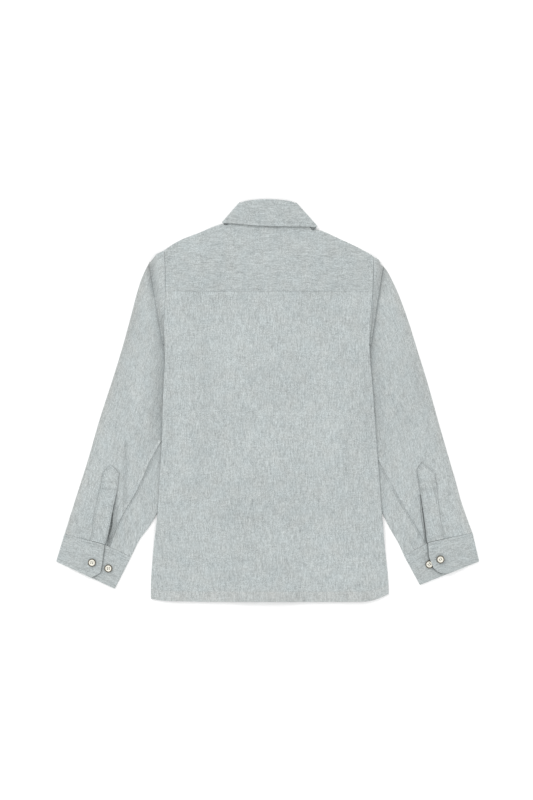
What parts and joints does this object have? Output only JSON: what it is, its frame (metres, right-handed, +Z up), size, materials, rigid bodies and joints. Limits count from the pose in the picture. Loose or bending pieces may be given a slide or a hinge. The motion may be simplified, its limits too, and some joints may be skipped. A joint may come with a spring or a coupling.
{
  "type": "long-sleeved shirt",
  "caption": "Child's long-sleeved woven shirt in grey-sage, lying flat on its front with its back, yoke and collar up.",
  "frame": {"origin": "middle of the shirt's outline, on the surface that it lies on", "axes": "+X towards the wearer's right sleeve, +Y towards the collar, +Z up from the surface, out of the back"},
  "size_m": [0.5925, 0.5641, 0.0107],
  "materials": {
    "cloth": "matt woven, slubbed",
    "buttons": "satin, dark rim"
  },
  "bodies": {
    "root": {"back": "cloth", "yoke": "cloth", "front_left": "cloth", "front_right": "cloth", "front_placket": "cloth", "collar_stand": "cloth", "collar_fall": "cloth", "sleeve_left": "cloth", "sleeve_right": "cloth", "sleeve_placket_left": "cloth", "sleeve_placket_right": "cloth", "sleeve_binding_left": "cloth", "sleeve_binding_right": "cloth", "cuff_left": "cloth", "cuff_right": "cloth", "cuff_button_left_1": "buttons", "cuff_button_left_2": "buttons", "cuff_button_right_1": "buttons", "cuff_button_right_2": "buttons", "front_button_1": "buttons", "front_button_2": "buttons", "front_button_3": "buttons", "front_button_4": "buttons", "front_button_5": "buttons", "front_button_6": "buttons", "front_button_7": "buttons", "collar_button": "buttons"}
  },
  "joints": []
}
